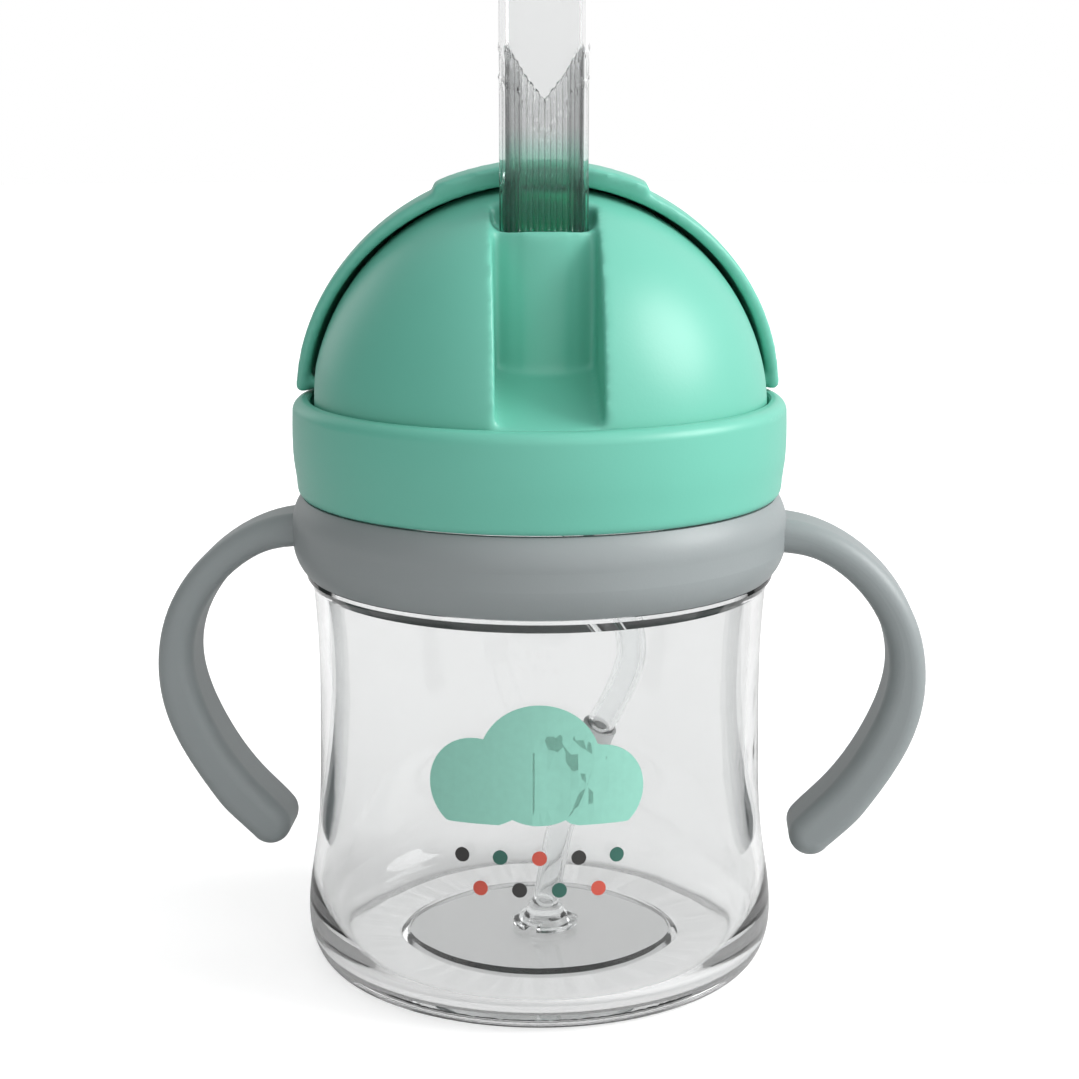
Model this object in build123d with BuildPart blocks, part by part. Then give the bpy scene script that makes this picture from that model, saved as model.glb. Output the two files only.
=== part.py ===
from build123d import *
from math import cos, radians, sin, tan
import os

# A learner drinking cup with a straw: clear cup, loose handle ring, screw ring, domed straw
# lid with a sliding cover, and a flexible hose that runs down to the floor of the cup.
# Millimetres. +Z is up, the drinking side faces -Y, and the origin is on the table under
# the middle of the cup.

# ---- driving dimensions -------------------------------------------------------------------
WALL = 2.1                # wall of the clear cup
NECK_R = 36.4             # outside of the cup's neck
NECK_BORE = 34.2          # inside of the cup's neck
SHOULDER_R = 38.2         # ledge that carries the handle ring
SHOULDER_Z = 65.9
RIM_Z = 85.0              # top of the neck
PITCH = 3.2               # thread between neck and screw ring
RIDGE_ROOT = 1.4          # width of a thread ridge at its root
RIDGE_TIP = 0.8           # width of a thread ridge at its tip
NECK_RIDGE_R = 37.5       # outside of the ridge on the neck
NECK_THREAD_Z = 80.6
RING_RIDGE_R = 36.65      # inside of the ridge in the screw ring
RING_THREAD_Z = 79.95
RING_BORE = 38.15
RING_OPENING = 37.2       # the dome stands up through this
RING_BOTTOM = 78.9
RING_LIP = 88.4           # underside of the lip that holds the lid down
RING_TOP = 94.2
COLLAR_BORE = 37.7        # bore of the handle ring
COLLAR_R = 40.3
COLLAR_TOP = 78.6
HANDLE_DEPTH = 12.0       # handle bar, front to back
HANDLE_ROUND = 2.4
HANDLE_TURN = -6.0        # the loose handle ring rests turned a little against the lid
FLANGE_R = 37.9           # rim of the lid, held by the screw ring
FLANGE_BOTTOM = 86.4
FLANGE_TOP = 88.2
PIVOT_Z = 91.1            # axis of the cover and centre of the dome
DOME_R = 37.0
DOME_BORE_R = 35.0
COVER_IN_R = 37.9
COVER_OUT_R = 40.0
COVER_TRAVEL = 73.0       # degrees from open to closed
COVER_GAP = 0.3           # between the cover and the screw ring
CHANNEL_HALF = 8.0        # half the width of the straw channel
CHANNEL_WALL = 1.7
STRAW_Y = -15.4           # middle of the straw
STRAW_W = 13.6
STRAW_T = 6.0
STRAW_WALL = 1.4
LIP_Z = 121.8             # front lip of the straw outlet
BEND_TOP = 136.0          # the soft length that folds ends here
STRAW_TOP = 157.5
HOSE_D = 4.8
TUBE_D = 4.4
FIT = 0.1                 # clearance between pieces that are put together by hand

os.makedirs("parts", exist_ok=True)


def save(piece, name):
    """Label a finished piece and write it to its own file."""
    piece.label = name
    export_step(piece, f"parts/{name}.step")


def ridge(root_r, tip_r, start_z, turns, start_turn):
    """One helical thread ridge from root_r to tip_r, as a solid of its own."""
    depth = tip_r - root_r
    bury = -0.3 if depth > 0 else 0.3
    helix = Helix(pitch=PITCH, height=PITCH * turns, radius=root_r, center=(0, 0, start_z))
    with BuildPart() as thread:
        with BuildSketch(Plane(origin=helix @ 0, x_dir=(1, 0, 0), z_dir=helix % 0)):
            with BuildLine():
                Polyline(
                    (bury, -RIDGE_ROOT / 2),
                    (0, -RIDGE_ROOT / 2),
                    (depth, -RIDGE_TIP / 2),
                    (depth, RIDGE_TIP / 2),
                    (0, RIDGE_ROOT / 2),
                    (bury, RIDGE_ROOT / 2),
                    close=True,
                )
            make_face()
        sweep(path=helix, is_frenet=True)
    return thread.part.rotate(Axis.Z, 360 * start_turn)


def hose_path(points, name):
    """A hose route: straight runs joined by the largest arcs that both runs allow."""
    points = [Vector(*point) for point in points]
    radii = []
    for before, here, after in zip(points, points[1:], points[2:]):
        half_turn = radians((here - before).get_angle(after - here)) / 2
        shorter = min((here - before).length, (after - here).length)
        radii.append(0.45 * shorter / tan(half_turn))
    print(name, "radii", [round(radius, 1) for radius in radii])
    return FilletPolyline(*points, radius=radii)


def tube(points, diameter, name):
    """A plain round solid along a hose route."""
    route = hose_path(points, name)
    with BuildPart() as body:
        with BuildSketch(Plane(origin=route @ 0, z_dir=route % 0)) as section:
            Circle(diameter / 2)
        sweep(path=route)
    ratio = body.part.volume / (section.sketch.area * route.length)
    print(name, "length", round(route.length, 1), "volume ratio", round(ratio, 4))
    return body.part


# ---- clear cup ----------------------------------------------------------------------------
PUSH_UP_R = 22.0
PUSH_UP_Z = 1.1
FLOOR_Z = 3.2
FOOT_R = 34.6
neck_ridge = ridge(NECK_R, NECK_RIDGE_R, NECK_THREAD_Z, 1.05, 0)
with BuildPart() as cup_body:
    with BuildSketch(Plane.XZ):
        with BuildLine():
            Polyline((0, FLOOR_Z), (0, PUSH_UP_Z), (PUSH_UP_R, PUSH_UP_Z), (PUSH_UP_R + 1, 0), (FOOT_R, 0))
            Spline(
                (FOOT_R, 0),
                (36.8, 0.9),
                (38.4, 3.6),
                (39.0, 9.0),
                (37.6, 19.5),
                (36.6, 37.0),
                (36.5, 52.0),
                (37.2, SHOULDER_Z - 2.1),
            )
            Polyline(
                (37.2, SHOULDER_Z - 2.1),
                (SHOULDER_R, SHOULDER_Z - 0.6),
                (SHOULDER_R, SHOULDER_Z),
                (NECK_R, SHOULDER_Z),
                (NECK_R, RIM_Z),
                (NECK_BORE, RIM_Z),
                (NECK_BORE, SHOULDER_Z),
                (36.5 - WALL, 52.0),
            )
            Spline(
                (36.5 - WALL, 52.0),
                (36.6 - WALL, 37.0),
                (37.6 - WALL, 19.5),
                (38.7 - WALL, 9.5),
                (36.8 - WALL, 4.2),
                (31.0, FLOOR_Z - 0.8),
            )
            Polyline((31.0, FLOOR_Z - 0.8), (PUSH_UP_R + 2, FLOOR_Z - 0.8), (PUSH_UP_R, FLOOR_Z), (0, FLOOR_Z))
        make_face()
    revolve(axis=Axis.Z)
    fillet(cup_body.edges().filter_by(GeomType.CIRCLE).group_by(Axis.Z)[-1], 0.7)
    add(neck_ridge)
save(cup_body.part, "cup_body")

# ---- handle ring --------------------------------------------------------------------------
COLLAR_BOTTOM = SHOULDER_Z + FIT
COLLAR_FULL_Z = COLLAR_BOTTOM + 4.6   # the lower edge is rounded up to here
GRIP_ROOT_R = 38.8                    # the handle bars start inside the collar's wall
with BuildPart() as collar:
    with BuildSketch(Plane.XZ):
        with BuildLine():
            Line((COLLAR_BORE, COLLAR_BOTTOM), (38.2, COLLAR_BOTTOM))
            ThreePointArc((38.2, COLLAR_BOTTOM), (39.6, COLLAR_BOTTOM + 2.0), (COLLAR_R, COLLAR_FULL_Z))
            Line((COLLAR_R, COLLAR_FULL_Z), (COLLAR_R, 73.4))
            ThreePointArc((COLLAR_R, 73.4), (39.95, 76.4), (38.7, COLLAR_TOP))
            Polyline((38.7, COLLAR_TOP), (COLLAR_BORE, COLLAR_TOP), (COLLAR_BORE, COLLAR_BOTTOM))
        make_face()
    revolve(axis=Axis.Z)
with BuildPart() as right_grip:
    with BuildSketch(Plane.XZ):
        with BuildLine():
            Spline(
                (GRIP_ROOT_R, 75.0),
                (47.0, 73.1),
                (56.3, 66.5),
                (62.3, 56.3),
                (63.5, 47.5),
                (60.8, 36.2),
                (54.6, 26.0),
                (48.2, 19.3),
                tangents=[(1, -0.05), (-0.72, -0.66)],
            )
            ThreePointArc((48.2, 19.3), (43.2, 18.65), (42.6, 23.6))
            Spline(
                (42.6, 23.6),
                (47.2, 28.4),
                (54.3, 38.9),
                (57.5, 50.6),
                (52.6, 62.7),
                (46.0, 67.9),
                (GRIP_ROOT_R, 69.4),
                tangents=[(0.6, 0.72), (-1, 0.05)],
            )
            Line((GRIP_ROOT_R, 69.4), (GRIP_ROOT_R, 75.0))
        make_face()
    extrude(amount=HANDLE_DEPTH / 2, both=True)
    root_face = right_grip.faces().sort_by(Axis.X)[0]
    fillet(right_grip.faces().filter_by(Axis.Y).edges() - root_face.edges(), HANDLE_ROUND)
    with Locations((0, 0, SHOULDER_Z)):
        Cylinder(COLLAR_R - 1, 2 * RING_TOP, mode=Mode.SUBTRACT)
with BuildPart() as handle_ring:
    add(collar.part)
    add(right_grip.part, rotation=(0, 0, HANDLE_TURN))
    add(right_grip.part, rotation=(0, 0, HANDLE_TURN + 180))
save(handle_ring.part, "handle_ring")

# ---- screw ring ---------------------------------------------------------------------------
RING_THREAD_TURN = (RING_THREAD_Z - NECK_THREAD_Z) / PITCH + 0.5
ring_ridge = ridge(RING_BORE, RING_RIDGE_R, RING_THREAD_Z, 1.0, RING_THREAD_TURN)
with BuildPart() as screw_ring:
    with BuildSketch(Plane.XZ):
        with BuildLine():
            Line((RING_BORE, RING_BOTTOM), (38.7, RING_BOTTOM))
            Spline(
                (38.7, RING_BOTTOM),
                (39.45, 81.0),
                (39.87, 84.3),
                (40.03, 87.6),
                (39.95, 92.3),
                tangents=[(0.9, 0.4), (-0.03, 1)],
            )
            ThreePointArc((39.95, 92.3), (39.4, 93.65), (38.05, RING_TOP))
            Polyline(
                (38.05, RING_TOP),
                (RING_OPENING + 0.3, RING_TOP),
                (RING_OPENING, RING_TOP - 0.3),
                (RING_OPENING, RING_LIP),
                (RING_BORE, RING_LIP),
                (RING_BORE, RING_BOTTOM),
            )
        make_face()
    revolve(axis=Axis.Z)
    add(ring_ridge)
save(screw_ring.part, "screw_ring")

# ---- gasket between the lid and the neck --------------------------------------------------
GASKET_IN_R = 33.2
with BuildPart() as neck_gasket:
    with BuildSketch(Plane.XZ):
        with BuildLine():
            Polyline(
                (GASKET_IN_R, RIM_Z - 1.4),
                (NECK_BORE - 0.3, RIM_Z - 1.4),
                (NECK_BORE - 0.15, RIM_Z + FIT),
                (NECK_R - 0.2, RIM_Z + FIT),
                (NECK_R - 0.2, FLANGE_BOTTOM),
                (GASKET_IN_R, FLANGE_BOTTOM),
                close=True,
            )
        make_face()
    revolve(axis=Axis.Z)
save(neck_gasket.part, "neck_gasket")

# ---- domed lid ----------------------------------------------------------------------------
# The core is the hollow under the dome: all of it except the straw channel, the straw
# outlet and the two housings of the cover's pivots.
TOWER_FRONT = -19.6       # front of the straw outlet, on the middle line
TOWER_SIDE = -17.4        # front of the straw outlet, at the channel's sides
TOWER_BACK = -9.8
TOWER_BOTTOM = 96.8
WALL_FOOT_Z = 101.0       # where the outlet's front wall meets the channel floor
FLOOR_FRONT_Z = 93.4      # channel floor at the front of the lid
OUTLET_BACK = -11.2       # back of the opening above the outlet
SLEEVE_TOP = 99.3         # top of the seat for the straw's flange
POCKET_R = 6.9            # pocket for the cover's arm
POCKET_FACE = 33.0        # |X| of the pocket's flat bottom
POCKET_LOW = FLANGE_TOP + 0.4
SOCKET_R = 4.0            # boss behind the pocket, for the pivot
SOCKET_BACK = 29.0
PIVOT_R = 1.8
PIVOT_END = 30.5
FLOOR_SLOPE = (WALL_FOOT_Z - FLOOR_FRONT_Z) / (TOWER_SIDE + DOME_R + 1)
TOWER_FOOT_Y = (TOWER_BOTTOM + CHANNEL_WALL - FLOOR_FRONT_Z) / FLOOR_SLOPE - DOME_R - 1
VENT_X = 1.6
VENT_Y = -21.6
TOP_Z = PIVOT_Z + DOME_R + 1
with BuildPart() as lid_core:
    with BuildSketch(Plane.XZ):
        with BuildLine():
            Polyline(
                (0, PIVOT_Z + DOME_BORE_R),
                (0, FLANGE_BOTTOM - 1),
                (GASKET_IN_R, FLANGE_BOTTOM - 1),
                (GASKET_IN_R, FLANGE_TOP),
                (DOME_BORE_R, PIVOT_Z),
            )
            CenterArc((0, PIVOT_Z), DOME_BORE_R, 0, 90)
        make_face()
    revolve(axis=Axis.Z)
    with BuildSketch(Plane.YZ):
        with BuildLine():
            Polyline(
                (-DOME_R - 1, FLOOR_FRONT_Z - CHANNEL_WALL),
                (TOWER_FOOT_Y, TOWER_BOTTOM),
                (TOWER_BACK, TOWER_BOTTOM),
                (TOWER_BACK, TOP_Z),
                (-DOME_R - 1, TOP_Z),
                close=True,
            )
        make_face()
    extrude(amount=CHANNEL_HALF + CHANNEL_WALL, both=True, mode=Mode.SUBTRACT)
    for side in (1, -1):
        for offset, radius in ((POCKET_FACE - CHANNEL_WALL, POCKET_R + CHANNEL_WALL), (SOCKET_BACK, SOCKET_R)):
            with BuildSketch(Plane.YZ.offset(side * offset)):
                with Locations((0, PIVOT_Z)):
                    Circle(radius)
            extrude(amount=side * POCKET_R, mode=Mode.SUBTRACT)

with BuildPart() as straw_dome:
    with BuildSketch(Plane.XZ):
        with BuildLine():
            CenterArc((0, PIVOT_Z), DOME_R, 0, 90)
            Polyline(
                (DOME_R, PIVOT_Z),
                (DOME_R, FLANGE_TOP),
                (FLANGE_R, FLANGE_TOP),
                (FLANGE_R, FLANGE_BOTTOM),
                (0, FLANGE_BOTTOM),
                (0, PIVOT_Z + DOME_R),
            )
        make_face()
    revolve(axis=Axis.Z)
    add(lid_core.part, mode=Mode.SUBTRACT)
    with BuildSketch(Plane.YZ):
        with BuildLine():
            Polyline(
                (-DOME_R - 1, FLOOR_FRONT_Z),
                (TOWER_SIDE, WALL_FOOT_Z),
                (TOWER_SIDE, LIP_Z),
                (OUTLET_BACK, LIP_Z),
                (OUTLET_BACK, TOP_Z),
                (-DOME_R - 1, TOP_Z),
                close=True,
            )
        make_face()
    extrude(amount=CHANNEL_HALF, both=True, mode=Mode.SUBTRACT)
    with BuildSketch(Plane.XY.offset(TOWER_BOTTOM)):
        with BuildLine():
            ThreePointArc((-CHANNEL_HALF, TOWER_SIDE), (0, TOWER_FRONT), (CHANNEL_HALF, TOWER_SIDE))
            Polyline(
                (CHANNEL_HALF, TOWER_SIDE),
                (CHANNEL_HALF, TOWER_BACK),
                (-CHANNEL_HALF, TOWER_BACK),
                (-CHANNEL_HALF, TOWER_SIDE),
            )
        make_face()
    extrude(amount=LIP_Z - TOWER_BOTTOM)
    for grow, top in ((FIT, TOP_Z), (STRAW_WALL + FIT, SLEEVE_TOP)):
        with BuildSketch(Plane.XY.offset(TOWER_BOTTOM - 1)):
            with Locations((0, STRAW_Y)):
                SlotOverall(STRAW_W + 2 * grow, STRAW_T + 2 * grow)
        extrude(amount=top - TOWER_BOTTOM + 1, mode=Mode.SUBTRACT)
    with Locations((VENT_X, VENT_Y, WALL_FOOT_Z)):
        Cylinder(0.6, 8, mode=Mode.SUBTRACT)
    for side in (1, -1):
        with BuildSketch(Plane.YZ.offset(side * POCKET_FACE)):
            with Locations((0, PIVOT_Z)):
                Circle(POCKET_R)
            with Locations((0, POCKET_LOW - POCKET_R)):
                Rectangle(4 * POCKET_R, 2 * POCKET_R, mode=Mode.SUBTRACT)
        extrude(amount=side * POCKET_R, mode=Mode.SUBTRACT)
        with BuildSketch(Plane.YZ.offset(side * (PIVOT_END - 0.3))):
            with Locations((0, PIVOT_Z)):
                Circle(PIVOT_R + 0.05)
        extrude(amount=side * POCKET_R, mode=Mode.SUBTRACT)
save(straw_dome.part, "straw_dome")

# ---- sliding cover ------------------------------------------------------------------------
# A slice of a hollow ball that slides over the dome. Its two straight edges lie just above
# the screw ring, one in the open position and the other in the closed position.
ARM_IN = POCKET_FACE + 0.4
ARM_OUT = 35.9
ARM_TILT = COVER_TRAVEL / 2
ARM_LOW = 5.2             # the arm's outer end, measured from the pivot
ARM_HIGH = 6.5
ARM_W = 2.6
THUMB_HALF = 17.0
THUMB_DEEP = 5.5
EDGE_HEIGHT = RING_TOP - PIVOT_Z + COVER_GAP
front_dir = Vector(0, sin(radians(COVER_TRAVEL)), cos(radians(COVER_TRAVEL)))
back_edge = Plane(origin=(0, 0, PIVOT_Z + EDGE_HEIGHT), z_dir=(0, 0, 1))
front_edge = Plane(origin=Vector(0, 0, PIVOT_Z) + front_dir * EDGE_HEIGHT, x_dir=(1, 0, 0), z_dir=front_dir)
with BuildPart() as thumb_lip:
    with Locations((0, 0, PIVOT_Z)):
        Sphere(COVER_OUT_R + 1.2)
        Sphere(COVER_IN_R + 1.0, mode=Mode.SUBTRACT)
    with BuildSketch(front_edge):
        Rectangle(2 * THUMB_HALF, 3 * COVER_OUT_R)
    extrude(amount=THUMB_DEEP, mode=Mode.INTERSECT)
    split(bisect_by=back_edge, keep=Keep.TOP)
    fillet(thumb_lip.edges().filter_by(lambda edge: abs(edge.center().X) > THUMB_HALF - 0.5), 0.6)
with BuildPart() as slide_cover:
    with Locations((0, 0, PIVOT_Z)):
        Sphere(COVER_OUT_R)
        Sphere(COVER_IN_R, mode=Mode.SUBTRACT)
    split(bisect_by=back_edge, keep=Keep.TOP)
    split(bisect_by=front_edge, keep=Keep.TOP)
    fillet(slide_cover.edges(), 0.7)
    add(thumb_lip.part)
    for side in (1, -1):
        for inner, outer, low, high in (
            (ARM_OUT, COVER_IN_R + 0.5, ARM_LOW, ARM_HIGH),
            (ARM_IN, ARM_OUT, 0, ARM_HIGH),
        ):
            with BuildSketch(Plane.YZ.offset(side * inner)):
                with Locations(Location((0, PIVOT_Z, 0), (0, 0, -ARM_TILT))):
                    with Locations((0, (low + high) / 2)):
                        Rectangle(ARM_W, high - low)
            extrude(amount=side * (outer - inner))
        for inner, outer, radius in ((ARM_IN, ARM_OUT, 2.2), (PIVOT_END, ARM_OUT, PIVOT_R)):
            with BuildSketch(Plane.YZ.offset(side * inner)):
                with Locations((0, PIVOT_Z)):
                    Circle(radius)
            extrude(amount=side * (outer - inner))
save(slide_cover.part, "slide_cover")

# ---- straw above the lid: seat, fold and mouth --------------------------------------------
def straw_length(bottom, top, flange=0.0):
    """A flat oval tube from bottom to top, with a wider flange of that height at its foot."""
    with BuildPart() as piece:
        with BuildSketch(Plane.XY.offset(bottom)):
            with Locations((0, STRAW_Y)):
                SlotOverall(STRAW_W, STRAW_T)
        extrude(amount=top - bottom)
        if flange:
            with BuildSketch(Plane.XY.offset(bottom)):
                with Locations((0, STRAW_Y)):
                    SlotOverall(STRAW_W + 2 * STRAW_WALL, STRAW_T + 2 * STRAW_WALL)
            extrude(amount=flange)
        with BuildSketch(Plane.XY.offset(bottom)):
            with Locations((0, STRAW_Y)):
                SlotOverall(STRAW_W - 2 * STRAW_WALL, STRAW_T - 2 * STRAW_WALL)
        extrude(amount=top - bottom, mode=Mode.SUBTRACT)
    return piece.part


SEAT_Z = 98.1
EXIT_Z = LIP_Z + 0.2
save(straw_length(SEAT_Z, EXIT_Z, SLEEVE_TOP - SEAT_Z - FIT), "straw_base")
save(straw_length(EXIT_Z, BEND_TOP), "straw_fold")
with BuildPart() as straw_mouth:
    add(straw_length(BEND_TOP, STRAW_TOP))
    fillet(straw_mouth.faces().sort_by(Axis.Z)[-1].edges(), 0.5)
save(straw_mouth.part, "straw_mouth")

# ---- hose adapter under the lid -----------------------------------------------------------
PLATE_Z = SEAT_Z - 1.2
NIPPLE_END = 92.5
with BuildPart() as hose_adapter:
    with BuildSketch(Plane.XY.offset(PLATE_Z)):
        with Locations((0, STRAW_Y)):
            SlotOverall(STRAW_W + 2 * STRAW_WALL, STRAW_T + 2 * STRAW_WALL)
    extrude(amount=SEAT_Z - PLATE_Z)
    with BuildSketch(Plane.XY.offset(PLATE_Z)):
        with Locations((0, STRAW_Y)):
            Circle(3.4)
    with BuildSketch(Plane.XY.offset(NIPPLE_END)):
        with Locations((0, STRAW_Y)):
            Circle(3.0)
    loft()
    with Locations((0, STRAW_Y, SEAT_Z)):
        Cylinder(1.4, 4 * (SEAT_Z - NIPPLE_END), mode=Mode.SUBTRACT)
save(hose_adapter.part, "hose_adapter")

# ---- vent valve under the channel floor ---------------------------------------------------
VALVE_R = 2.6
VALVE_TOP = FLOOR_FRONT_Z - CHANNEL_WALL + FLOOR_SLOPE * (VENT_Y - VALVE_R + DOME_R + 1) - FIT
with BuildPart() as vent_valve:
    with BuildSketch(Plane.XY.offset(VALVE_TOP - 1.2)):
        with Locations((VENT_X, VENT_Y)):
            Circle(VALVE_R)
    extrude(amount=1.2)
    with BuildSketch(Plane.XY.offset(VALVE_TOP - 1.2)):
        with Locations((VENT_X, VENT_Y)):
            Circle(1.9)
    with BuildSketch(Plane.XY.offset(VALVE_TOP - 6.0)):
        with Locations((VENT_X, VENT_Y)):
            Rectangle(3.2, 0.9)
    loft()
save(vent_valve.part, "vent_valve")

# ---- hose, connector, lower tube and foot inside the cup ----------------------------------
hose_route = [
    (0.0, STRAW_Y, NIPPLE_END),
    (0.8, -15.2, 83.5),
    (5.5, -13.6, 73.5),
    (11.8, -11.2, 65.0),
    (14.9, -8.6, 56.0),
    (13.2, -5.8, 47.5),
    (9.9, -3.6, 39.6),
]
lower_route = [
    (7.55, -2.03, 33.97),
    (5.3, -0.5, 25.5),
    (2.6, 0.7, 16.0),
    (1.0, 1.2, 7.0),
]
save(tube(hose_route, HOSE_D, "hose"), "hose")
save(tube(lower_route, TUBE_D, "lower tube"), "lower_tube")
sleeve_start = Vector(*hose_route[-1])
sleeve_axis = Vector(*lower_route[0]) - sleeve_start
with BuildPart() as hose_connector:
    with BuildSketch(Plane(origin=sleeve_start, z_dir=sleeve_axis)):
        Circle(2.9)
    extrude(amount=sleeve_axis.length)
save(hose_connector.part, "hose_connector")

FOOT_BOTTOM = 3.5
FOOT_RIM_Z = FOOT_BOTTOM + 0.9
FOOT_RIM_R = 5.5
foot_x, foot_y, foot_top = lower_route[-1]
with BuildPart() as straw_foot:
    with BuildSketch(Plane.XZ):
        with BuildLine():
            Polyline(
                (0, FOOT_RIM_Z),
                (3.2, FOOT_RIM_Z),
                (3.9, FOOT_BOTTOM),
                (FOOT_RIM_R, FOOT_BOTTOM),
                (FOOT_RIM_R, FOOT_RIM_Z),
                (3.2, FOOT_RIM_Z + 1.4),
                (2.8, foot_top),
                (0, foot_top),
                close=True,
            )
        make_face()
    revolve(axis=Axis.Z)
    with Locations((0, 0, FOOT_BOTTOM)):
        with PolarLocations(FOOT_RIM_R, 3):
            Box(5.0, 2.2, 2 * (FOOT_RIM_Z - FOOT_BOTTOM) - 0.2, mode=Mode.SUBTRACT)
save(Pos(foot_x, foot_y, 0) * straw_foot.part, "straw_foot")
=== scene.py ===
import bmesh
import bpy
import math
from bpy.props import FloatProperty, FloatVectorProperty, IntProperty, PointerProperty
from bpy.types import Operator, Panel, PropertyGroup
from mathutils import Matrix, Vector
from mathutils.bvhtree import BVHTree


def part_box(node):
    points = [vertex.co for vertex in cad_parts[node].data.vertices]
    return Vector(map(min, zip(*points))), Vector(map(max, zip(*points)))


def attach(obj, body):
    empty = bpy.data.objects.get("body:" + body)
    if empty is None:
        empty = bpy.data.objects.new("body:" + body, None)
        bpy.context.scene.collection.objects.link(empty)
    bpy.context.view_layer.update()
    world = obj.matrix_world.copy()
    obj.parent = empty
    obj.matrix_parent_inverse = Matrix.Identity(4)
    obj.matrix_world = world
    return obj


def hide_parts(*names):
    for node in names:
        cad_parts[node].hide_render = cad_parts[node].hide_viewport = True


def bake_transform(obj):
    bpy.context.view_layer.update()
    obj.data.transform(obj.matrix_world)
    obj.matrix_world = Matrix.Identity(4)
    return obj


bl_info = {
    "name": "Straw Cup Finish",
    "version": (1, 0, 0),
    "blender": (4, 5, 0),
    "location": "View3D > Sidebar > Straw Cup",
    "description": "Surfaces, straw, hose and print of a learner drinking cup",
    "category": "Object",
}

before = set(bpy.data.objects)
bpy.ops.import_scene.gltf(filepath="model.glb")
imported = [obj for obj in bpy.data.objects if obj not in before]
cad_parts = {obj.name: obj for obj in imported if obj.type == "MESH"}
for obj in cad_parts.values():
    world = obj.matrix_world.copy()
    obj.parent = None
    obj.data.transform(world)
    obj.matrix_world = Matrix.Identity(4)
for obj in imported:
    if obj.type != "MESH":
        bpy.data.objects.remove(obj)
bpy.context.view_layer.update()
MM = 0.001


# ---- nodes as arithmetic -----------------------------------------------------------------

class Wire:
    """A node's output. Arithmetic on it adds Math nodes to its tree."""

    def __init__(self, tree, made, output=0):
        self.tree = tree
        self.made = made
        self.socket = made.outputs[output] if made.outputs else None

    def out(self, output):
        """Another output of the same node."""
        return Wire(self.tree, self.made, output)

    def math(self, operation, *values):
        return self.tree.math(operation, *values)

    def __add__(self, other):
        return self.math("ADD", self, other)

    def __radd__(self, other):
        return self.math("ADD", other, self)

    def __sub__(self, other):
        return self.math("SUBTRACT", self, other)

    def __rsub__(self, other):
        return self.math("SUBTRACT", other, self)

    def __mul__(self, other):
        return self.math("MULTIPLY", self, other)

    def __rmul__(self, other):
        return self.math("MULTIPLY", other, self)

    def __truediv__(self, other):
        return self.math("DIVIDE", self, other)

    def __abs__(self):
        return self.math("ABSOLUTE", self)

    def cosine(self):
        return self.math("COSINE", self)

    def between(self, low, high):
        """0 at low, 1 at high, and a smooth step in between."""
        settings = {"interpolation_type": "SMOOTHSTEP"}
        return self.tree.node("ShaderNodeMapRange", settings, {"Value": self, "From Min": low, "From Max": high})


class Tree:
    """A node tree, with one method that adds any node."""

    def __init__(self, node_tree):
        self.node_tree = node_tree

    def node(self, kind, settings=None, values=(), output=0):
        made = self.node_tree.nodes.new(kind)
        for name, value in (settings or {}).items():
            setattr(made, name, value)
        for key, value in (values.items() if isinstance(values, dict) else enumerate(values)):
            if isinstance(value, Wire):
                self.node_tree.links.new(value.socket, made.inputs[key])
            else:
                made.inputs[key].default_value = value
        return Wire(self, made, output)

    def math(self, operation, *values):
        return self.node("ShaderNodeMath", {"operation": operation}, values)


class Finish(Tree):
    """A material with one Principled shader."""

    def __init__(self, name, **constants):
        self.material = bpy.data.materials.new(name)
        self.material.use_nodes = True
        super().__init__(self.material.node_tree)
        self.shader = self.node_tree.nodes["Principled BSDF"]
        for socket, value in constants.items():
            self.shader.inputs[socket.replace("_", " ")].default_value = value
        self.place = self.node("ShaderNodeTexCoord", output="Object")

    def noise(self, grain_mm, detail=2.0):
        """Soft random values from 0 to 1 whose features are about that many millimetres wide."""
        values = {"Vector": self.place, "Scale": 1 / (grain_mm * MM), "Detail": detail}
        return self.node("ShaderNodeTexNoise", values=values)

    def tint(self, mask, first, second):
        """A colour that runs from first to second as mask runs from 0 to 1."""
        ends = [end if isinstance(end, Wire) else (*end, 1) for end in (first, second)]
        return self.node("ShaderNodeMix", {"data_type": "RGBA"}, {0: mask, 6: ends[0], 7: ends[1]}, 2)

    def feed(self, socket, wire):
        self.node_tree.links.new(wire.socket, self.shader.inputs[socket])

    def bump(self, height, depth_mm, strength=1.0):
        values = {"Height": height, "Distance": depth_mm * MM, "Strength": strength}
        self.feed("Normal", self.node("ShaderNodeBump", values=values))


def shade(colour, share):
    """The same colour, lighter or darker."""
    return tuple(min(1.0, part * share) for part in colour)


def moulded(name, colour, roughness, grain_mm=0.5):
    """Satin moulded plastic: a little colour drift, a fine eroded grain and soft flow marks."""
    finish = Finish(name, Specular_IOR_Level=0.5, Subsurface_Weight=0.06, Subsurface_Scale=0.003)
    finish.shader.inputs["Subsurface Radius"].default_value = (0.6, 1.0, 0.9)
    drift = finish.noise(26)
    grain = finish.noise(grain_mm, 3.0)
    finish.feed("Base Color", finish.tint(drift, shade(colour, 0.95), shade(colour, 1.04)))
    finish.feed("Roughness", roughness + 0.07 * (grain - 0.5) + 0.05 * (drift - 0.5))
    finish.bump(grain + 0.6 * finish.noise(7), 0.012)
    return finish.material


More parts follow.
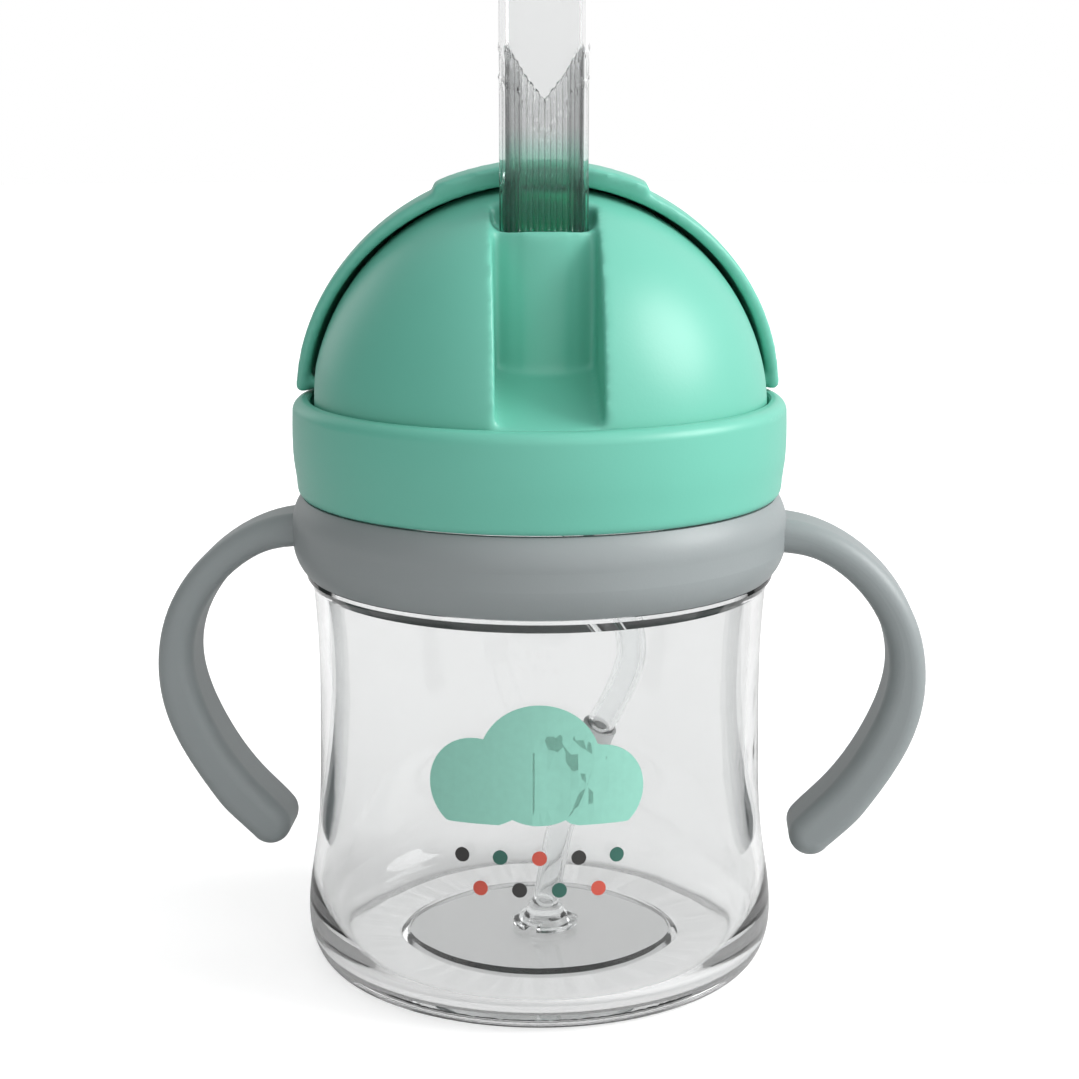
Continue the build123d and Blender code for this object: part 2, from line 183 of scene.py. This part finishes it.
def see_through(name, colour, roughness, ior, wave_mm=14.0, wave_depth=0.03, milk=0.0, foot=None):
    """Clear plastic or silicone with faint flow waves. A foot is a painted reflection of a nearby part's colour,
    and the heights where it fades out.
    """
    finish = Finish(name, IOR=ior, Transmission_Weight=1.0 - milk)
    waves = finish.noise(wave_mm)
    drift = finish.tint(waves, shade(colour, 0.985), colour)
    if foot:
        painted_reflection_colour, low, high = foot
        up = finish.node("ShaderNodeSeparateXYZ", values=(finish.place,)).out("Z").between(low, high)
        # Painted reflection: the foot colour is mixed into the base colour below the heights where it fades out.
        drift = finish.tint(up, painted_reflection_colour, drift)
    finish.feed("Base Color", drift)
    finish.feed("Roughness", roughness + 0.02 * finish.noise(3))
    finish.bump(waves, wave_depth)
    return finish.material


def ink(name, colour):
    """Screen-print ink: flat colour with a slightly mottled gloss."""
    finish = Finish(name)
    mottle = finish.noise(1.2, 4.0)
    finish.feed("Base Color", finish.tint(mottle, shade(colour, 0.93), shade(colour, 1.05)))
    finish.feed("Roughness", 0.42 + 0.12 * mottle)
    finish.bump(mottle, 0.006)
    return finish.material


def paint(node, material):
    """Puts one material on a CAD node."""
    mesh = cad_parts[node].data
    mesh.materials.clear()
    mesh.materials.append(material)


# ---- meshes ------------------------------------------------------------------------------

def linked(name, data):
    piece = bpy.data.objects.new(name, data)
    bpy.context.scene.collection.objects.link(piece)
    return piece


def plain(piece):
    """Turns a piece with modifiers into a plain mesh of the same name."""
    name = piece.name
    evaluated = piece.evaluated_get(bpy.context.evaluated_depsgraph_get())
    mesh = bpy.data.meshes.new_from_object(evaluated)
    bpy.data.objects.remove(piece)
    mesh.name = name
    return linked(name, mesh)


def smooth(piece):
    for face in piece.data.polygons:
        face.use_smooth = True
    return piece


def dress(piece, material, body, slot, *nodes):
    """Gives a finished piece its material, its body and the CAD nodes that it stands for. The slot is not used."""
    piece.data.materials.clear()
    piece.data.materials.append(material)
    for face in piece.data.polygons:
        face.material_index = 0
    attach(piece, body)
    if nodes:
        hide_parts(*nodes)
    return piece


def node_group(name, inputs):
    """A geometry node tree with named inputs, as (Tree, wire for each input name)."""
    group = bpy.data.node_groups.new(name, "GeometryNodeTree")
    for label, value in inputs.items():
        kind = "NodeSocketInt" if isinstance(value, int) else "NodeSocketFloat"
        if isinstance(value, bpy.types.Material):
            kind = "NodeSocketMaterial"
        group.interface.new_socket(label, in_out="INPUT", socket_type=kind)
    group.interface.new_socket("Geometry", in_out="OUTPUT", socket_type="NodeSocketGeometry")
    tree = Tree(group)
    source = tree.node("NodeGroupInput")
    return tree, {label: source.out(label) for label in inputs}


def grown(name, tree, shape, material_wire, inputs):
    """Ends a geometry node tree, runs it with these inputs and returns the result as a plain mesh piece."""
    real = tree.node("GeometryNodeRealizeInstances", values=(shape,))
    covered = tree.node("GeometryNodeSetMaterial", values={"Geometry": real, "Material": material_wire})
    tree.node("NodeGroupOutput", values=(covered,))
    piece = linked(name, bpy.data.meshes.new(name))
    modifier = piece.modifiers.new("Shape", "NODES")
    modifier.node_group = tree.node_tree
    for item in tree.node_tree.interface.items_tree:
        if item.in_out == "INPUT":
            modifier[item.identifier] = inputs[item.name]
    return plain(piece)


def softened(name, node, voxel_mm, rounds):
    """A copy of a CAD node whose edges are rounded off as a mould rounds them."""
    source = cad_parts[node]
    mesh = source.data.copy()
    merged = bmesh.new()
    merged.from_mesh(mesh)
    bmesh.ops.remove_doubles(merged, verts=merged.verts, dist=0.002 * MM)
    merged.to_mesh(mesh)
    merged.free()
    piece = linked(name, mesh)
    remesh = piece.modifiers.new("Even", "REMESH")
    remesh.mode = "VOXEL"
    remesh.voxel_size = voxel_mm * MM
    relax = piece.modifiers.new("Round", "SMOOTH")
    relax.factor = 0.5
    relax.iterations = rounds
    return smooth(plain(piece))


# ---- settings ----------------------------------------------------------------------------

class StrawCupSettings(PropertyGroup):
    mint: FloatVectorProperty(
        name="Mint", description="Colour of the lid, cover and screw ring", subtype="COLOR", size=3,
        min=0, max=1, default=(0.155, 0.53, 0.41),
    )
    grey: FloatVectorProperty(
        name="Grey", description="Colour of the handle ring", subtype="COLOR", size=3, min=0, max=1,
        default=(0.29, 0.32, 0.325),
    )
    satin: FloatProperty(
        name="Satin", description="Roughness of the coloured plastic", subtype="FACTOR", min=0, max=1, default=0.37,
    )
    lid_rounding: IntProperty(
        name="Lid rounding", description="How far the edges of the lid and its cover are rounded off", min=0, max=60, default=12,
    )
    flutes: IntProperty(
        name="Flutes", description="Flutes round the foot of the straw", min=0, max=60, default=38,
    )
    flute_depth: FloatProperty(
        name="Flute depth", description="Depth of a flute", unit="LENGTH", min=0, max=0.001, default=0.0002,
    )
    hose_bore: FloatProperty(
        name="Hose bore", description="Inside diameter of the hose", unit="LENGTH", min=0.001, max=0.004,
        default=0.003,
    )
    print_turn: FloatProperty(
        name="Print turn", description="How far the print is turned round the cup", subtype="ANGLE",
        default=math.radians(-2.5),
    )
    print_lift: FloatProperty(
        name="Print thickness", description="Thickness of the ink", unit="LENGTH", min=0.00001, max=0.0005,
        default=0.00006,
    )


def settings():
    return bpy.context.scene.straw_cup


# ---- camera, floor and light -------------------------------------------------------------

CAMERA_DISTANCE = 0.3422     # from the cup's axis, level
CAMERA_HEIGHT = 0.1429
CAMERA_TURN = math.radians(-2.5)
CAMERA_TILT = math.radians(12.0)
FLOOR_GLOW = 0.62            # how far the floor is lifted to white where it is looked at
DARK_SIDE = 0.08             # soft light from the left
BRIGHT_SIDE = 0.78           # and from the right
FRONT_FILL = 0.75            # how much more of it comes from the front


class STRAWCUP_OT_stage(Operator):
    """Camera, pale floor and soft light"""

    bl_idname = "strawcup.stage"
    bl_label = "Stage"

    def execute(self, context):
        scene = context.scene
        camera = linked("camera", bpy.data.cameras.new("camera"))
        camera.data.lens = 70.8
        camera.data.sensor_width = 36
        camera.data.clip_start = 0.01
        camera.location = (
            CAMERA_DISTANCE * math.sin(CAMERA_TURN),
            -CAMERA_DISTANCE * math.cos(CAMERA_TURN),
            CAMERA_HEIGHT,
        )
        camera.rotation_euler = (math.radians(90) - CAMERA_TILT, 0, CAMERA_TURN)
        scene.camera = camera

        floor_mesh = bpy.data.meshes.new("floor")
        ring = bmesh.new()
        bmesh.ops.create_circle(ring, cap_ends=True, segments=96, radius=3.0)
        ring.to_mesh(floor_mesh)
        ring.free()
        floor = linked("floor", floor_mesh)
        paper = Finish("floor paper", Roughness=0.9, Emission_Strength=FLOOR_GLOW)
        paper.feed("Base Color", paper.tint(paper.noise(40), (0.60, 0.60, 0.60), (0.62, 0.62, 0.62)))
        paper.feed("Emission Color", paper.tint(self.looked_at(paper), (0, 0, 0), (1, 1, 1)))
        floor_mesh.materials.append(paper.material)

        world = bpy.data.worlds.new("studio")
        world.use_nodes = True
        scene.world = world
        sky = Tree(world.node_tree)
        back = world.node_tree.nodes["Background"]
        back.inputs["Color"].default_value = (1, 1, 1, 1)
        way = sky.node("ShaderNodeSeparateXYZ", values=(sky.node("ShaderNodeTexCoord", output="Generated"),))
        front = 1 + FRONT_FILL * (1 - way.out("Y").between(-0.9, 0.3))
        glow = DARK_SIDE + (BRIGHT_SIDE - DARK_SIDE) * way.between(-0.95, 0.15) * front
        strength = sky.math("MAXIMUM", glow, self.looked_at(sky))
        world.node_tree.links.new(strength.socket, back.inputs["Strength"])

        key = bpy.data.lights.new("key", "SUN")
        key.energy = 2.2
        key.angle = math.radians(36)
        aim = Vector((-0.85, 0.14, -0.50))
        linked("key", key).rotation_euler = aim.to_track_quat("-Z", "Y").to_euler()
        self.lamp("edge", (-0.40, 0.45, 0.25), 0.3, 0.25)
        scene.view_settings.view_transform = "Standard"
        return {"FINISHED"}

    def looked_at(self, tree):
        """1 where the camera looks, straight or through something clear, and 0 for light on the cup."""
        seen = tree.node("ShaderNodeLightPath", output="Is Camera Ray")
        return tree.math("MAXIMUM", seen, seen.out("Is Transmission Ray"))

    def lamp(self, name, place, size, watts):
        """A square soft box that points at the middle of the cup."""
        light = bpy.data.lights.new(name, "AREA")
        light.size = size
        light.energy = watts
        lamp = linked(name, light)
        lamp.location = place
        aim = Vector((0, 0, 0.08)) - lamp.location
        lamp.rotation_euler = aim.to_track_quat("-Z", "Y").to_euler()


# ---- hose --------------------------------------------------------------------------------

HOSE_ROUTE = (
    (0, -15.4, 92.5), (0.8, -15.2, 83.5), (5.5, -13.6, 73.5), (11.8, -11.2, 65),
    (14.9, -8.6, 56), (13.2, -5.8, 47.5), (9.9, -3.6, 39.6),
)
LOWER_ROUTE = ((7.55, -2.03, 33.97), (5.3, -0.5, 25.5), (2.6, 0.7, 16), (1.0, 1.2, 7))
HOSE_OUTSIDE = 4.8 * MM
LOWER_OUTSIDE = 4.4 * MM
TUBE_SIDES = 40


class STRAWCUP_OT_hose(Operator):
    """Clear hose, connector, lower tube and foot inside the cup"""

    bl_idname = "strawcup.hose"
    bl_label = "Hose"

    def execute(self, context):
        silicone = see_through("hose silicone", (0.96, 0.97, 0.97), 0.04, 1.41, 9.0)
        bore = settings().hose_bore
        hose_line = self.centreline("hose line", HOSE_ROUTE)
        hose = self.tube("hose_tube", hose_line, HOSE_OUTSIDE, bore)
        dress(hose, silicone, "lid", "clear_silicone", "hose")
        lower = self.tube("lower_hose", self.centreline("lower line", LOWER_ROUTE), LOWER_OUTSIDE, bore)
        dress(lower, silicone, "lid", "clear_silicone", "lower_tube")
        paint("hose_connector", moulded("connector plastic", (0.90, 0.91, 0.91), 0.35))
        paint("straw_foot", see_through("foot silicone", (0.96, 0.97, 0.97), 0.05, 1.41))
        return {"FINISHED"}

    def centreline(self, name, route):
        """Points along one smooth curve that the route's points steer."""
        curve = bpy.data.curves.new(name, "CURVE")
        curve.dimensions = "3D"
        curve.resolution_u = 12
        spline = curve.splines.new("NURBS")
        spline.points.add(len(route) - 1)
        for point, place in zip(spline.points, route):
            point.co = (*(Vector(place) * MM), 1)
        spline.order_u = 3
        spline.use_endpoint_u = True
        line = plain(linked(name, curve))
        points = [vertex.co.copy() for vertex in line.data.vertices]
        bpy.data.objects.remove(line)
        return points

    def tube(self, name, line, outside, inside):
        """A hollow tube along a line of points, closed at both ends by its cut faces."""
        bm = bmesh.new()
        side = Vector((0, 1, 0))
        skins = ([], [])
        for index, here in enumerate(line):
            along = (line[min(index + 1, len(line) - 1)] - line[max(index - 1, 0)]).normalized()
            side = (side - along * side.dot(along)).normalized()
            across = along.cross(side)
            for skin, diameter in zip(skins, (outside, inside)):
                angles = [2 * math.pi * step / TUBE_SIDES for step in range(TUBE_SIDES)]
                skin.append([
                    bm.verts.new(here + (side * math.cos(a) + across * math.sin(a)) * diameter / 2) for a in angles
                ])
        for skin in skins:
            for low, high in zip(skin, skin[1:]):
                self.band(bm, low, high)
        for end in (0, -1):
            self.band(bm, skins[0][end], skins[1][end])
        bmesh.ops.recalc_face_normals(bm, faces=bm.faces)
        mesh = bpy.data.meshes.new(name)
        bm.to_mesh(mesh)
        bm.free()
        return smooth(linked(name, mesh))

    def band(self, bm, low, high):
        for step in range(len(low)):
            after = (step + 1) % len(low)
            bm.faces.new((low[step], low[after], high[after], high[step]))


# ---- moulded pieces ----------------------------------------------------------------------

class STRAWCUP_OT_shells(Operator):
    """Clear cup, handle ring, screw ring and the small inner pieces"""

    bl_idname = "strawcup.shells"
    bl_label = "Shells"

    def execute(self, context):
        chosen = settings()
        mint = moulded("mint plastic", tuple(chosen.mint), chosen.satin)
        paint("handle_ring", moulded("grey plastic", tuple(chosen.grey), chosen.satin + 0.04))
        paint("screw_ring", mint)
        paint("cup_body", see_through("cup plastic", (0.80, 0.805, 0.805), 0.01, 1.49))
        paint("neck_gasket", moulded("gasket silicone", (0.85, 0.86, 0.86), 0.5))
        paint("vent_valve", moulded("valve silicone", (0.80, 0.82, 0.82), 0.5))
        paint("hose_adapter", see_through("adapter plastic", (0.95, 0.96, 0.96), 0.3, 1.45, milk=0.5))
        return {"FINISHED"}


class STRAWCUP_OT_lid(Operator):
    """Domed lid and cover, with their edges rounded as in a mould"""

    bl_idname = "strawcup.lid"
    bl_label = "Lid"

    def execute(self, context):
        chosen = settings()
        mint = bpy.data.materials["mint plastic"]
        lid = softened("domed_lid", "straw_dome", 0.58, chosen.lid_rounding)
        dress(lid, mint, "lid", "mint_plastic", "straw_dome")
        cover = softened("domed_cover", "slide_cover", 0.52, chosen.lid_rounding)
        dress(cover, mint, "cover", "mint_plastic", "slide_cover")
        return {"FINISHED"}


# ---- straw -------------------------------------------------------------------------------

STRAW_Y = -15.4 * MM
STRAW_WIDTH = 13.6 * MM
STRAW_DEPTH = 6.0 * MM
STRAW_WALL = 1.4 * MM
FLUTE_TOP = 140.5 * MM       # where the flutes end, on the middle line
FLUTE_RISE = 1.25            # how steeply that edge rises to both sides
CHEVRON_LIP = 0.18 * MM      # a raised lip on that edge, and a second one below it
CHEVRON_STEP = 4.5 * MM
WAIST = 0.5                  # how much thinner the straw is where it folds, so that the cover clears it
WAIST_Y = -16.2 * MM
FOLD_LOW = 121.0 * MM
FOLD_HIGH = 128.0 * MM


class STRAWCUP_OT_straw(Operator):
    """Soft straw above the lid, fluted below a chevron edge, thinner where it would fold under the cover"""

    bl_idname = "strawcup.straw"
    bl_label = "Straw"

    def execute(self, context):
        chosen = settings()
        # Painted reflection: the lid's mint, made lighter, is painted into the lower part of the clear straw.
        glow = (shade(chosen.mint, 1.5), 0.120, 0.138)    # the lid's colour, carried up the silicone
        silicone = see_through("straw silicone", (0.90, 0.905, 0.905), 0.04, 1.25, 8.0, milk=0.05, foot=glow)
        inputs = {
            "Bottom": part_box("straw_base")[0].z,
            "Top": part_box("straw_mouth")[1].z,
            "Flutes": chosen.flutes,
            "Flute Depth": chosen.flute_depth,
            "Material": silicone,
        }
        tree, wires = node_group("fluted straw", inputs)
        outline = tree.node("GeometryNodeCurvePrimitiveQuadrilateral", values={0: STRAW_WIDTH, 1: STRAW_DEPTH})
        rounded = tree.node(
            "GeometryNodeFilletCurve", {"mode": "POLY"},
            {"Curve": outline, "Radius": STRAW_DEPTH / 2 - 0.01 * MM, "Count": 16},
        )
        count = tree.node("ShaderNodeMath", {"operation": "MULTIPLY"}, (wires["Flutes"], 10.0))
        profile = tree.node("GeometryNodeResampleCurve", values={"Curve": rounded, "Count": count})
        turn = tree.node("GeometryNodeSplineParameter", output="Factor")
        marked = tree.node(
            "GeometryNodeStoreNamedAttribute", {"data_type": "FLOAT", "domain": "POINT"},
            {"Geometry": profile, "Name": "around", "Value": turn},
        )
        foot = tree.node("ShaderNodeCombineXYZ", values=(0.0, STRAW_Y, wires["Bottom"]))
        head = tree.node("ShaderNodeCombineXYZ", values=(0.0, STRAW_Y, wires["Top"]))
        line = tree.node("GeometryNodeCurvePrimitiveLine", values={"Start": foot, "End": head})
        path = tree.node("GeometryNodeResampleCurve", values={"Curve": line, "Count": 116})
        skin = tree.node("GeometryNodeCurveToMesh", values=(path, marked))
        around = tree.node("GeometryNodeInputNamedAttribute", {"data_type": "FLOAT"}, ("around",))
        place = tree.node("ShaderNodeSeparateXYZ", values=(tree.node("GeometryNodeInputPosition"),))
        above = place.out("Z") - FLUTE_TOP - FLUTE_RISE * abs(place)
        below = 1 - above.between(-0.5 * MM, 0.7 * MM)
        wave = (around * (2 * math.pi) * wires["Flutes"]).cosine()
        lips = self.lip(above) + self.lip(above + CHEVRON_STEP)
        depth = wires["Flute Depth"] * 0.5 * (wave - 1) * below + CHEVRON_LIP * lips
        normal = tree.node("GeometryNodeInputNormal")
        push = tree.node("ShaderNodeVectorMath", {"operation": "SCALE"}, {0: normal, "Scale": depth})
        up = place.out("Z")
        waist = up.between(FOLD_LOW - 2 * MM, FOLD_LOW + 2 * MM) * (1 - up.between(FOLD_HIGH - 1 * MM, FOLD_HIGH + 3 * MM))
        thinner = tree.node("ShaderNodeCombineXYZ", values=(0.0, WAIST * waist * (WAIST_Y - place.out("Y")), 0.0))
        both = tree.node("ShaderNodeVectorMath", {"operation": "ADD"}, (push, thinner))
        fluted = tree.node("GeometryNodeSetPosition", values={"Geometry": skin, "Offset": both})
        straw = grown("soft_straw", tree, fluted, wires["Material"], inputs)
        bm = bmesh.new()
        bm.from_mesh(straw.data)
        bmesh.ops.remove_doubles(bm, verts=bm.verts, dist=0.001 * MM)
        bmesh.ops.recalc_face_normals(bm, faces=bm.faces)
        bm.to_mesh(straw.data)
        bm.free()
        wall = straw.modifiers.new("Wall", "SOLIDIFY")
        wall.thickness = STRAW_WALL
        wall.offset = -1
        straw = smooth(plain(straw))
        straw.data.materials.clear()
        straw.data.materials.append(silicone)
        for face in straw.data.polygons:
            face.material_index = 0
        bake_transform(straw)
        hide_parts("straw_base", "straw_fold", "straw_mouth")
        return {"FINISHED"}

    def lip(self, away):
        """A rounded ridge, 1 where away is 0 and gone within 0.7 mm."""
        return away.between(-0.7 * MM, 0.0) * (1 - away.between(0.0, 0.7 * MM))


# ---- print on the cup --------------------------------------------------------------------

CUP_RADIUS = 36.8 * MM
STRIP = Vector((1.2, 3.0))   # the fill is cut into strips this far apart, so that it follows the wall
CLOUD_MIDDLE = (0.0, 40.0)
CLOUD_PUFFS = ((0.0, 3.0, 9.5), (-10.0, -0.5, 7.5), (9.5, -1.0, 7.0))    # across, up, radius
CLOUD_FOOT = -6.5
CLOUD_POINTS = 145
DOT_SIZE = 1.15
DOT_STEP = 6.0
DOT_ROWS = ((28.4, 5), (23.4, 4))    # height, dots


class STRAWCUP_OT_print(Operator):
    """A plain cloud over two rows of dots, printed on the front of the cup"""

    bl_idname = "strawcup.print"
    bl_label = "Print"

    def execute(self, context):
        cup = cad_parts["cup_body"].data
        self.wall = BVHTree.FromPolygons(
            [vertex.co for vertex in cup.vertices], [tuple(face.vertices) for face in cup.polygons],
        )
        mint = ink("mint ink", (0.29, 0.63, 0.52))
        dark = ink("dark ink", (0.035, 0.034, 0.033))
        green = ink("green ink", (0.03, 0.13, 0.10))
        red = ink("red ink", (0.60, 0.09, 0.06))
        self.press("cloud_print", [self.cloud()], mint, "mint_plastic")
        dots = [self.dot(step, count, up) for up, count in DOT_ROWS for step in range(count)]
        self.press("dark_dot_print", dots[0::3], dark, "grey_plastic")
        self.press("green_dot_print", dots[1::3], green, "grey_plastic")
        self.press("red_dot_print", dots[2::3], red, "grey_plastic")
        return {"FINISHED"}

    def cloud(self):
        """The outline round three overlapping discs, cut off level at the foot."""
        outline = []
        for step in range(CLOUD_POINTS):
            angle = 2 * math.pi * step / CLOUD_POINTS
            ray = Vector((math.cos(angle), math.sin(angle)))
            reach = max(self.far_side(ray, Vector(puff[:2]), puff[2]) for puff in CLOUD_PUFFS)
            across, up = ray * reach
            outline.append((CLOUD_MIDDLE[0] + across, CLOUD_MIDDLE[1] + max(up, CLOUD_FOOT)))
        return outline

    def far_side(self, ray, middle, radius):
        """How far along a ray from the centre a disc ends, or 0 where the ray misses it."""
        nearest = ray.dot(middle)
        square = radius ** 2 - middle.length_squared + nearest ** 2
        return nearest + math.sqrt(square) if square > 0 else 0.0

    def dot(self, step, count, up):
        """One disc of a centred row."""
        middle = (step - (count - 1) / 2) * DOT_STEP
        angles = [2 * math.pi * turn / 32 for turn in range(32)]
        return [(middle + DOT_SIZE * math.cos(angle), up + DOT_SIZE * math.sin(angle)) for angle in angles]

    def press(self, name, loops, material, slot):
        """Fills the loops, wraps them round the cup and gives the ink its thickness."""
        curve = bpy.data.curves.new(name, "CURVE")
        curve.dimensions = "2D"
        curve.fill_mode = "BOTH"
        for loop in loops:
            spline = curve.splines.new("POLY")
            spline.points.add(len(loop) - 1)
            for point, (across, up) in zip(spline.points, loop):
                point.co = (across, up, 0, 1)
            spline.use_cyclic_u = True
        flat = plain(linked(name, curve))
        bm = bmesh.new()
        bm.from_mesh(flat.data)
        bmesh.ops.remove_doubles(bm, verts=bm.verts, dist=0.0001)
        bmesh.ops.dissolve_edges(bm, edges=[edge for edge in bm.edges if len(edge.link_faces) == 2])
        for way, axis in enumerate((Vector((1, 0, 0)), Vector((0, 1, 0)))):
            places = [vertex.co[way] for vertex in bm.verts]
            for step in range(math.ceil(min(places) / STRIP[way]), math.ceil(max(places) / STRIP[way])):
                cut = [*bm.verts, *bm.edges, *bm.faces]
                bmesh.ops.bisect_plane(bm, geom=cut, plane_co=axis * step * STRIP[way], plane_no=axis)
        bmesh.ops.triangulate(bm, faces=bm.faces)
        ink_thickness = settings().print_lift
        for vertex in bm.verts:
            vertex.co = self.on_wall(vertex.co.x * MM, vertex.co.y * MM, 0.3 * ink_thickness)
        bmesh.ops.recalc_face_normals(bm, faces=bm.faces)
        bm.to_mesh(flat.data)
        bm.free()
        skin = flat.modifiers.new("Ink", "SOLIDIFY")
        skin.thickness = ink_thickness
        skin.offset = 1
        dress(plain(flat), material, "cup", slot)

    def on_wall(self, across, up, lift):
        """The point on the outside of the cup at that distance round it and that height."""
        angle = across / CUP_RADIUS + settings().print_turn
        outward = Vector((math.sin(angle), -math.cos(angle), 0))
        far = outward * 3 * CUP_RADIUS + Vector((0, 0, up))
        hit = self.wall.ray_cast(far, -outward)[0]
        return hit + outward * lift


# ---- panel and run -----------------------------------------------------------------------

OPERATORS = (
    STRAWCUP_OT_stage, STRAWCUP_OT_hose, STRAWCUP_OT_shells, STRAWCUP_OT_lid, STRAWCUP_OT_straw, STRAWCUP_OT_print,
)


class STRAWCUP_PT_sidebar(Panel):
    bl_label = "Straw Cup"
    bl_space_type = "VIEW_3D"
    bl_region_type = "UI"
    bl_category = "Straw Cup"

    def draw(self, context):
        for name in StrawCupSettings.__annotations__:
            self.layout.prop(context.scene.straw_cup, name)
        for operator in OPERATORS:
            self.layout.operator(operator.bl_idname)


def register():
    for kind in (StrawCupSettings, *OPERATORS, STRAWCUP_PT_sidebar):
        bpy.utils.register_class(kind)
    bpy.types.Scene.straw_cup = PointerProperty(type=StrawCupSettings)


def unregister():
    del bpy.types.Scene.straw_cup
    for kind in reversed((StrawCupSettings, *OPERATORS, STRAWCUP_PT_sidebar)):
        bpy.utils.unregister_class(kind)


def main():
    register()
    bpy.ops.strawcup.stage()
    bpy.ops.strawcup.hose()
    bpy.ops.strawcup.shells()
    bpy.ops.strawcup.lid()
    bpy.ops.strawcup.straw()
    bpy.ops.strawcup.print()


if __name__ == "__main__":
    main()
